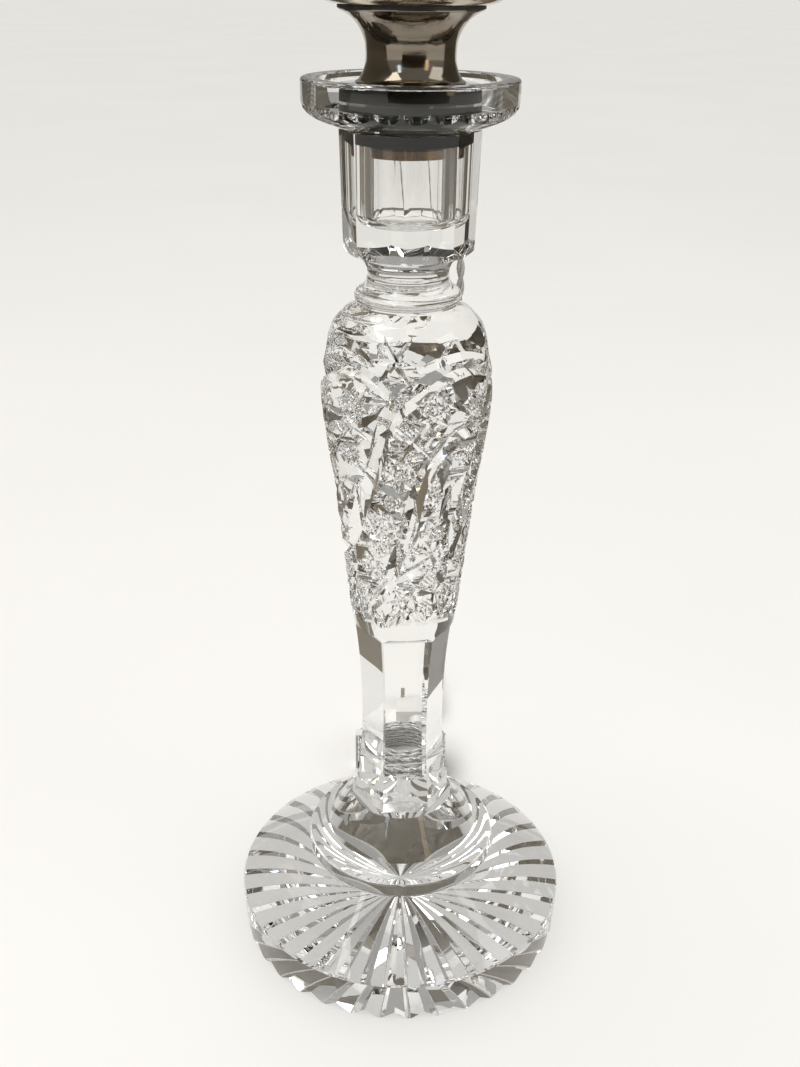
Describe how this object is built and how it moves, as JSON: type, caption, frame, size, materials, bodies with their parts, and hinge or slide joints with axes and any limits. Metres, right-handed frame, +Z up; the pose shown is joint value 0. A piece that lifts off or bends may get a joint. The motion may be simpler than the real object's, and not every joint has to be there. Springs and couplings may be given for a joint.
{
  "type": "glass candlestick lamp",
  "caption": "Tall cut-glass candlestick with rayed foot, faceted stem, swirl-cut body and flanged candle cup, fitted with a plated lampholder and cord.",
  "frame": {"origin": "on the table, under the middle of the foot", "axes": "+Z up along the glass, the front towards -Y, the cord at the back towards +Y"},
  "size_m": [0.1014, 0.1877, 0.3224],
  "materials": {
    "cut_glass": "polished, clear",
    "plated": "bright silver plate, worn",
    "brass": "dull",
    "bung_rubber": "matt",
    "black_rubber": "matt",
    "insert_moulding": "glossy",
    "liner_board": "matt",
    "screw_metal": "rolled",
    "key_moulding": "glossy",
    "cord_sheath": "clear over tinned wire",
    "lead_sheath": "matt",
    "plug_moulding": "satin"
  },
  "bodies": {
    "root": {"glass_foot": "cut_glass", "glass_stem": "cut_glass", "glass_body": "cut_glass", "glass_cup": "cut_glass", "cord": "cord_sheath", "cord_coil": "cord_sheath", "coil_tie": "plug_moulding", "cord_tail": "cord_sheath", "plug_body": "plug_moulding", "plug_blades": "brass"},
    "fitting": {"rubber_bung": "bung_rubber", "clamp_plate": "brass", "threaded_tube": "brass", "neck": "plated", "neck_gasket": "black_rubber", "cord_bushing": "black_rubber", "lead_wires": "lead_sheath", "pan": "plated", "pan_washer": "plated", "locknut": "brass", "holder_cap": "plated", "cap_set_screw": "brass", "holder_shell": "plated", "insulating_liner": "liner_board", "holder_insert": "insert_moulding", "screw_shell": "screw_metal", "centre_contact": "brass", "terminal_screws": "brass"},
    "key": {"turn_key": "key_moulding"}
  },
  "joints": [
    {"name": "fitting_lift", "type": "slide", "parent": "root", "child": "fitting", "axis": [0, 0, 1], "range_m": [0, 0.045]},
    {"name": "key_turn", "type": "hinge", "parent": "fitting", "child": "key", "pos_m": [0.025, 0, 0.2911], "axis": [1, 0, 0], "continuous": true}
  ]
}
